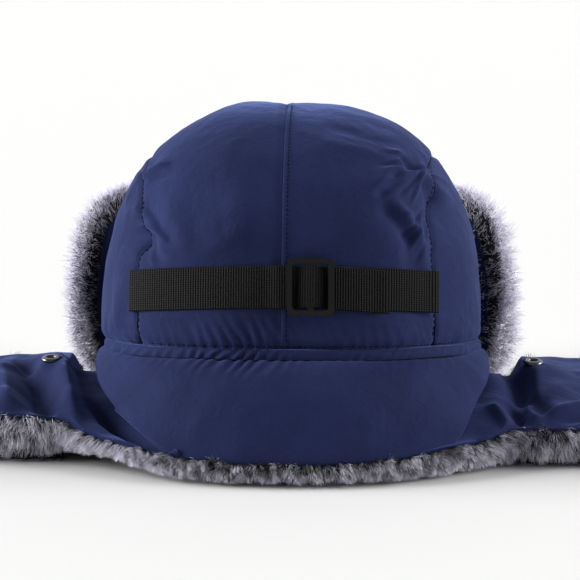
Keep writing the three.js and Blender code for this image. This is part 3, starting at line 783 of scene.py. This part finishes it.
def left_lift(x):
    """The left strap climbs onto the right one before the slider."""
    return FIRST_LAYER + (SECOND_LAYER - FIRST_LAYER) * ramp(x, -11.0, -3.0)


def tail_lift(x):
    return SECOND_LAYER + 0.9 * ramp(x, 42, 49)


def right_lift(x):
    """The right strap rises a little where it's sewn to the side seam."""
    return FIRST_LAYER + 1.2 * ramp(x, 69, 74)


left_strap = strap_piece("strap_left_webbing", -80.0, 5.0, left_lift)
tail = strap_piece("strap_tail_webbing", 19.5, 49.0, tail_lift, tilt=-0.05)
right_strap = strap_piece("strap_right_webbing", -2.7, 74.0, right_lift)
under = ["crown_middle_left_skin", "crown_middle_right_skin"]
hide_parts("strap_left_with_tail")
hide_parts("strap_right")

# ---- Front flap, turned up against the front of the crown ----
VISOR_LOW, VISOR_HIGH, VISOR_DROOP = -6.0, 81.0, 24.0
VISOR_SHIFT = -3.5
VISOR_PLAN = 139.0  # half-width of the flatter curve that the flap follows
VISOR_HALF, VISOR_HALF_HEIGHT = 114.0, 42.0  # of the flap's rounded outline
GROUND_CLEAR = 1.2  # the lowest that a dark ground reaches


def visor_point(s, v, off=0.0):
    """On the flap's fabric; s from -1 to 1 across, v upward, off outward."""
    k = 2 * v - 1
    round_end = 55.0 * np.maximum(0, 1 - np.abs(k) ** 8) ** 0.4
    half = 60.0 + round_end - lerp(2.0, 8.0, v) * np.sqrt(k**2 + 0.02)
    x = half * s + VISOR_SHIFT + 4.5 * (1 - v) ** 2 * ramp(s, 0.6, 1.0)
    low = VISOR_LOW - VISOR_DROOP * np.abs(s) ** 3
    top = VISOR_HIGH - 5.0 * np.abs(s) ** 6
    h = lerp(low, top, v)
    depth = HALF_DEPTH + 4.2 + 5.0 * v + 1.2 * np.sin(3.1 * s + 2.0 * v)
    y = depth * rest(x / VISOR_PLAN, PLAN)
    slope = depth / VISOR_PLAN * (np.abs(x) / VISOR_PLAN) ** (PLAN - 1) * np.sign(x)
    n = np.stack([slope, np.ones_like(x), 0.05 + 0 * x], axis=-1)
    n /= np.linalg.norm(n, axis=-1, keepdims=True)
    return to_hat(np.stack([x, y, h], axis=-1) + n * off), turn_to_hat(n)


def visor_out(base, n, v):
    """Along the flap's face, outward from its rounded outline."""
    x, k = (base[..., 0] - VISOR_SHIFT) / VISOR_HALF, 2 * v - 1
    slope = [np.sign(x) * np.abs(x) ** 4 / VISOR_HALF, np.sign(k) * k**4 / VISOR_HALF_HEIGHT]
    g = unit(np.stack(slope, axis=-1) + 1e-9)
    across = unit(np.stack([n[..., 1], -n[..., 0], 0 * x], axis=-1))
    return across * g[..., :1] + np.array([0, 0, 1.0]) * g[..., 1:]


def visor_grid(off, beyond=0.0):
    """The flap's face, off outward from its fabric and beyond its outline."""
    s, v = lattice(int(110 * DETAIL), int(50 * DETAIL), (-1, 1))
    grid, n = visor_point(s, v)
    rim = ramp(np.maximum(np.abs(s), np.abs(2 * v - 1)), 0.9, 1.0)
    grid = grid + visor_out(grid, n, v) * (beyond * rim * ramp(v, 0.0, 0.6))[..., None]
    wave = 1.6 * rough(grid, 38, 2.4) + 0.4 * rough(grid, 14, 6.6)
    grid = grid + n * (off + wave)[..., None]
    grid[..., 2] = np.maximum(grid[..., 2], GROUND_CLEAR)
    return grid


def cross_brow(piece):
    """Bakes a piece's placement into its mesh."""
    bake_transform(piece)


visor = sheet_piece("front_flap_skin", visor_grid(0.0), NAVY, 1.0, outward=(0, -1, 0))
cross_brow(visor)
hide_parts("front_flap_shell", "front_flap_padding")
backing = sheet_piece("front_flap_underfur", visor_grid(8.0, 9.0), UNDERFUR, 6.5, outward=(0, 1, 0))
cross_brow(backing)
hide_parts("front_flap_pile")


# ---- Fur ----
def fur(name, roots, aim, bend, length, width=0.30, tint=0.0, clump=4.5, material=FUR, low=0.0):
    """Tapered hairs: each leaves its root along aim and turns towards bend."""
    count = len(roots)
    lean = np.stack([rough(roots, clump, k * 13.7) for k in range(3)], axis=-1)
    fine = np.stack([rough(roots, 0.45 * clump, 5.0 + k * 9.1) for k in range(3)], axis=-1)
    aim = unit(aim + 0.28 * lean + 0.30 * fine + 0.14 * RNG.normal(size=(count, 3)))
    length = (length * RNG.uniform(0.62, 1.12, count) * (1 + 0.18 * lean[:, 0]))[:, None]
    side = unit(np.cross(aim, RNG.normal(size=(count, 3))))
    steps = (0.0, 0.36, 0.70, 1.0)
    rings, along = [], []
    for t in steps:
        spine = roots + length * (aim * t + (bend + 0.25 * lean) * t * t * 0.55)
        half = side * width * 0.5 * (1 - 0.55 * t)
        rings += [spine] if t == 1.0 else [spine - half, spine + half]
        along += [np.full(count, t)] * (1 if t == 1.0 else 2)
    points = np.stack(rings, axis=1)
    lowest = np.reshape(low + np.zeros(count), (count, 1)) + 0.3 + 0.5 * RNG.random((count, 1))
    points[..., 2] = np.maximum(points[..., 2], lowest)
    corners = np.array([[0, 1, 2], [1, 3, 2], [2, 3, 4], [3, 5, 4], [4, 5, 6]])
    faces = (np.arange(count)[:, None, None] * 7 + corners).reshape(-1, 3)
    shade = tint + 0.11 * rough(roots, 8, 21.0) + 0.32 * rough(roots, 2.6, 3.0)
    shade = shade + 0.10 * RNG.normal(size=count)
    shade = np.repeat(shade[:, None], 7, axis=1) * np.array([0.3, 0.3, 0.8, 0.8, 1, 1, 1])
    return mesh_piece(name, points, faces, material, {"along": np.stack(along, axis=1), "tint": shade})


def plan_normals(path):
    """Outward normals, in plan, of a path that runs anticlockwise seen from above."""
    step = np.gradient(path, axis=0)
    n = np.stack([step[:, 1], -step[:, 0], 0 * step[:, 0]], axis=-1)
    return unit(n)


DROOP = 0.55
PAINTED_TOP_SHADE = -0.26  # painted shade: the uppermost hairs of an edge, under the fabric's edge, are darker
CHIN_STRAP_X, CHIN_STRAP_ROOM = 233.0, 15.0  # the fur leaves the chin straps free past this x


def trim(name, path, count, length, tint=0.0, top_shade=PAINTED_TOP_SHADE):
    """Fur from a fabric edge down to its floor, with roots on a rounded rim below the path."""
    normals = plan_normals(path)
    reach = np.concatenate([[0], np.cumsum(np.linalg.norm(np.diff(path, axis=0), axis=1))])
    at = RNG.uniform(0, reach[-1], count)
    edge = np.stack([np.interp(at, reach, path[:, k]) for k in range(3)], axis=-1)
    out = unit(np.stack([np.interp(at, reach, normals[:, k]) for k in range(3)], axis=-1))
    q = RNG.random(count) ** 0.7
    roots = edge + out * (2.6 * np.sin(np.pi * q) - 2.2 - 3.0 * (1 - q) ** 2)[:, None]
    low = fur_floor(roots)
    roots[:, 2] = lerp(low, edge[:, 2], lerp(0.10, 0.97, q)) - 0.4
    clear = np.abs(roots[:, 0]) < CHIN_STRAP_X
    clear |= np.abs(roots[:, 1] - EAR_MIDDLE) > CHIN_STRAP_ROOM
    roots, out, q, low = roots[clear], out[clear], q[clear], low[clear]
    aim = out * lerp(0.75, 1.0, q)[:, None] + np.array([0, 0, 1.0]) * lerp(-0.55, 0.22, q)[:, None]
    bend = out * 0.10 + np.array([0, 0, -DROOP])
    size = lerp(7.2, length, ramp(np.abs(roots[:, 0]), 84, 132)) * lerp(0.35, 1.0, q)
    # Painted shade: the uppermost hairs, under the fabric's edge, get a darker tint; the lower hairs get a
    # lighter one.
    return fur(name, roots, aim, bend, size, tint=tint + lerp(0.32, top_shade, q**1.3), low=low)


def fur_count(n):
    return int(n * DETAIL)


def trim_core(name, path):
    """The dark ground of the pile, from the fabric edge down to its floor."""
    out = plan_normals(path)
    rows = []
    for q in np.linspace(0, 1, 7):
        row = path + out * (1.8 * math.sin(math.pi * q) - 2.6 - 3.0 * q * q)
        low = fur_floor(row) + 0.6
        row[:, 2] = lerp(path[:, 2] - 0.6, low, q)
        rows.append(row)
    return sheet_piece(name, np.stack(rows, axis=1), UNDERFUR, 1.5)


neck_path = hem_curve(np.linspace(-72, 84, 120))
ride_root(trim("neck_flap_fur", neck_path, fur_count(26000), 9.0))
ride_root(trim_core("neck_flap_fur_ground", neck_path))

LINING_SHRINK = [0.93, 0.93, 1.0]  # the pile lies inside the neck flap's fabric


def neck_underfur():
    across, v = lattice(90, 24, (-0.97, 0.97), (0.08, 0.97))
    grid = neck_surface(across, v) * LINING_SHRINK - [0, 0, 4.0]
    grid[..., 2] = np.maximum(grid[..., 2], GROUND_CLEAR)
    return sheet_piece("neck_flap_underfur", grid, UNDERFUR, 1.5)


def neck_fur_lining(count):
    across, v = RNG.uniform(-0.98, 0.98, count), RNG.uniform(0.1, 0.97, count)
    roots = neck_surface(across, v) * LINING_SHRINK - [0, 0, 5.0]
    aim = -unit(roots * [1, 1, 0]) * 0.6 - [0, 0, 0.7]
    return fur("neck_flap_fur_lining", roots, aim, np.array([0, 0, -0.2]), 8.0, width=0.8, tint=0.1)


ride_root(neck_underfur(), "neck_flap_pile")
ride_root(neck_fur_lining(fur_count(14000)))


def ear_path(side):
    """The flap's edge round its tip, anticlockwise seen from above."""
    s = np.linspace(0.02, 0.995, 90)
    t = np.linspace(1, 0, 70)[1:-1]
    rear = ear_top(side, s, np.ones_like(s))
    tip = ear_top(side, np.ones_like(t), t)
    front = ear_top(side, s[::-1], np.zeros_like(s))
    path = np.concatenate([rear, tip, front])
    return path if side > 0 else path[::-1]


def ear_underside(side, count):
    """Roots and directions of the pile under the spread flap."""
    u, v = RNG.random(count), RNG.random(count)
    along = EAR_CUT * u
    x = 112 + EAR_LENGTH * along
    y = EAR_MIDDLE + EAR_HALF * rest(along, EAR_POWER) * (1 - 2 * v)
    across = 1 - (1 - 2 * v) ** 2
    arch = np.maximum(0, 32 * across * (1 - u**4) - 18)
    roots = np.stack([side * x, y, arch + 1.0], axis=-1)
    aim = np.stack([0.5 * side + 0 * x, 0 * x, -0.7 + 0 * x], axis=-1)
    return roots, aim


def ear_underfur(side):
    s, t = lattice(60, 50, (0.25, 0.97), (0.03, 0.97))
    grid = ear_top(side, s, t) - [0, 0, 13.0]
    grid[..., 2] = np.maximum(grid[..., 2], 2.5)
    return sheet_piece(f"{label_of(side)}_ear_underfur", grid, UNDERFUR, 1.5)


# Painted shade: the right ear flap's uppermost hairs are darker; the left one's, on the side of the stronger
# light, are not.
EAR_PAINTED_TOP_SHADES = {"left": 0.0, "right": PAINTED_TOP_SHADE}
for label, side in SIDES:
    body = f"{label}_ear_flap"
    path, top_shade = ear_path(side), EAR_PAINTED_TOP_SHADES[label]
    edge = trim(f"{label}_ear_fur_edge", path, fur_count(36000), 11.5, tint=0.10, top_shade=top_shade)
    cross_hinge(edge)
    cross_hinge(trim_core(f"{label}_ear_fur_ground", path))
    ground = ear_underfur(side)
    cross_hinge(ground)
    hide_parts(f"{label}_ear_pile")
    roots, aim = ear_underside(side, fur_count(16000))
    under = fur(f"{label}_ear_fur_lining", roots, aim, np.array([side * 0.4, 0, -0.2]), 10.0, width=0.9)
    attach(under, body)


def visor_edge(count):
    """Roots along the flap's rounded outline, closer at its ends, with directions out and off."""
    t = np.linspace(-1, 1, 300)
    up = 0.5 + 0.5 * np.sign(t) * (1 - (1 - np.abs(t)) ** 3)
    s_line = np.concatenate([1 + 0 * t, -t, -1 + 0 * t, t])
    v_line = np.concatenate([up, 1 + 0 * t, up[::-1], 0 * t])
    path = visor_point(s_line, v_line)[0]
    crowding = lerp(1.0, 2.6, ramp(np.abs(path[1:, 0]), 55, 95))
    step = np.linalg.norm(np.diff(path, axis=0), axis=1) * crowding
    reach = np.concatenate([[0], np.cumsum(step)])
    at = RNG.uniform(0, reach[-1], count)
    s, v = np.interp(at, reach, s_line), np.interp(at, reach, v_line)
    base, n = visor_point(s, v)
    return base, visor_out(base, n, v), n


def visor_fringe(count):
    """Pile of the turned-up inner side, fanned out past the flap's outline."""
    base, out, n = visor_edge(count)
    curled = ramp(base[:, 0], 60, 100)  # the right end shows more of its pile
    beyond = lerp(lerp(-3.0, -11.0, curled), 15.5, RNG.random(count) ** 0.75)
    beyond = beyond * lerp(1.0, 0.55, ramp(base[:, 2], 85, 125))
    beyond = beyond * lerp(0.5, 1.0, ramp(base[:, 2], 8, 35))
    inner = lerp(ramp(beyond, 0, 6), 1.0, curled)
    fan = np.radians(lerp(-10 - 65 * inner, 70, RNG.random(count)))[:, None]
    aim = out * np.cos(fan) + n * np.sin(fan) + np.array([0, 0, 0.35]) * ramp(base[:, 2:], 25, 60)
    roots = base + n * RNG.uniform(0.5, 8.5, (count, 1)) + out * beyond[:, None]
    # Painted light: the fringe's hairs get a lighter tint than the other fur, lighter still past the outline,
    # and lightest in the right end's inner zone, which would otherwise lie in shade.
    painted_light_tint = 0.62 + 0.12 * ramp(beyond, 4, 13) + 0.40 * curled * ramp(beyond, -9, 1)
    looks = {"width": 0.36, "tint": painted_light_tint, "clump": 5.0, "material": FRINGE}
    return fur("front_flap_fur_edge", roots, aim, out * 0.1, 6.8, **looks)


def visor_face(count):
    """Pile of the inner side, which is turned away from the crown."""
    s, v = RNG.uniform(-1.0, 1.0, count), RNG.uniform(0.0, 1.0, count)
    roots, n = visor_point(s, v, 8.2)
    return fur("front_flap_fur_face", roots, n, np.array([0, 0.1, 0.55]), 11.0, width=0.75)


cross_brow(visor_fringe(fur_count(39500)))
cross_brow(visor_face(fur_count(30000)))


# ---- Stitches ----
def stitches(name, points, normals, pitch, length, width):
    """Short thread bars along a line of points."""
    reach = np.concatenate([[0], np.cumsum(np.linalg.norm(np.diff(points, axis=0), axis=1))])
    at = np.arange(pitch, reach[-1] - pitch, pitch)
    take = lambda rows, where: np.stack([np.interp(where, reach, rows[:, k]) for k in range(3)], axis=-1)
    a, b, up = take(points, at), take(points, at + length), unit(take(normals, at))
    side = unit(np.cross(b - a, up)) * width / 2
    lift = up * 0.45
    a, b = a + up * 0.12, b + up * 0.12
    box = np.stack([a - side, a + side, b + side, b - side], axis=1)
    middle = (a + b) / 2
    top = np.stack([middle - side * 0.7 + lift, middle + side * 0.7 + lift], axis=1)
    points = np.concatenate([box, top], axis=1)
    corners = np.array([[0, 1, 5], [0, 5, 4], [1, 2, 5], [2, 3, 4], [2, 4, 5], [3, 0, 4]])
    faces = (np.arange(len(at))[:, None, None] * 6 + corners).reshape(-1, 3)
    ride_root(mesh_piece(name, points, faces, THREAD))


def crown_line(x, h):
    """Points and normals along a line over the back of the crown."""
    s = rest(h / RISE, DOME)
    inside = np.maximum(s**PLAN - np.abs(x / HALF_WIDTH) ** PLAN, 0)
    y = -HALF_DEPTH * inside ** (1 / PLAN)
    points, n = crown_skin(x, y, h)
    return to_hat(points), turn_to_hat(n)


heights = np.linspace(3, 98, 160)
for label, side in SIDES:
    seam = crown_line(side * (SIDE_SEAM - 0.9) + 0 * heights, heights)
    stitches(f"side_seam_{label}_stitches", *seam, pitch=3.1, length=1.9, width=0.95)
heights = np.linspace(2, 124, 200)
seam = crown_line(2.6 + 0 * heights, heights)
stitches("centre_seam_stitches", *seam, pitch=2.4, length=1.5, width=0.4)
# Painted shadow: along the band's lower seam the thread bars touch end to end, one dark line that stands for
# the stitches and the shadow in the seam's gap.
back = slice(int(0.27 * len(BAND_GRID)), int(0.73 * len(BAND_GRID)))
seam = BAND_GRID[back, -5]
stitches("band_lower_seam_and_painted_shadow", seam, unit(seam * [1, 1, 0]), pitch=2.0, length=2.0, width=1.1)
across = np.linspace(-100, 100, 400)
seam = crown_line(across, 1.6 + 0 * across)
stitches("band_stitches", *seam, pitch=3.0, length=2.0, width=0.6)


# ---- Fixed CAD nodes: materials ----
NODE_MATERIALS = {
    PLASTIC: ["strap_slider", "buckle_socket", "buckle_plug"],
    PLAIN_WEB: ["strap_over_slider_bar", "left_chin_strap", "right_chin_strap"],
    STEEL: ["left_eyelet_washer", "right_eyelet_washer"],
    LINING: [f"crown_{part}_{side}_lining" for part in ("middle", "side") for side in ("left", "right")],
    ELASTIC: ["band_elastic"],
}
for material, names in NODE_MATERIALS.items():
    for name in names:
        cad = bpy.data.objects[name]
        cad.data.materials.clear()
        cad.data.materials.append(material)

for name in NODE_MATERIALS[PLASTIC]:
    moulded = bpy.data.objects[name]
    moulded.data.polygons.foreach_set("use_smooth", [True] * len(moulded.data.polygons))
    bevel = moulded.modifiers.new("rounded_edges", "BEVEL")
    bevel.width = 0.7 * MM
    bevel.segments = 3
    bevel.limit_method = "ANGLE"
    bevel.angle_limit = math.radians(35)
    moulded.modifiers.new("flat_faces", "WEIGHTED_NORMAL")


# ---- Table, light and camera ----
def floor():
    material = new_material("table_white", (0.640, 0.640, 0.635), 0.8)[0]
    bpy.ops.mesh.primitive_plane_add(size=60.0, location=(0, 0, -0.0004))
    plane = bpy.context.object
    plane.name = "table"
    plane.data.materials.append(material)


def direction(azimuth, elevation):
    """From the hat towards a place around it: azimuth 0 is the camera's side, 90 the right."""
    a, e = math.radians(azimuth), math.radians(elevation)
    return Vector((math.sin(a) * math.cos(e), -math.cos(a) * math.cos(e), math.sin(e)))


def soft_sun(name, azimuth, elevation, strength, spread):
    """Even light from one direction."""
    light = bpy.data.lights.new(name, "SUN")
    light.energy = strength
    light.angle = math.radians(spread)
    lamp = bpy.data.objects.new(name, light)
    lamp.rotation_euler = direction(azimuth, elevation).to_track_quat("Z", "Y").to_euler()
    bpy.context.collection.objects.link(lamp)


def camera():
    target = Vector((-0.0016, 0.0, 0.0713))
    back, distance = direction(2.0, 9.4), 1.0
    data = bpy.data.cameras.new("camera")
    data.lens = 113.6
    data.sensor_width = 36
    data.clip_end = 50
    view = bpy.data.objects.new("camera", data)
    view.location = target + back * distance
    view.rotation_euler = (-back).to_track_quat("-Z", "Y").to_euler()
    bpy.context.collection.objects.link(view)
    bpy.context.scene.camera = view


def studio():
    """White surroundings, darkest behind the camera, and three soft lights."""
    world = bpy.data.worlds.new("studio")
    bpy.context.scene.world = world
    world.use_nodes = True
    tree = world.node_tree
    sky = tree.nodes["Background"]
    place = tree.nodes.new("ShaderNodeTexCoord")
    parts = tree.nodes.new("ShaderNodeSeparateXYZ")
    level = tree.nodes.new("ShaderNodeMapRange")
    for key, value in (("From Min", -0.2), ("From Max", 0.7), ("To Min", 0.20), ("To Max", 0.975)):
        level.inputs[key].default_value = value
    tree.links.new(place.outputs["Generated"], parts.inputs[0])
    tree.links.new(parts.outputs["Y"], level.inputs["Value"])
    tree.links.new(level.outputs["Result"], sky.inputs["Strength"])
    sky.inputs["Color"].default_value = (1, 1, 1, 1)
    soft_sun("left_softbox", -90, 18, 6.2, 40)
    soft_sun("right_softbox", 92, 18, 4.2, 40)
    soft_sun("top_softbox", 180, 62, 0.10, 70)
    bpy.context.scene.view_settings.view_transform = "Standard"


floor()
camera()
studio()
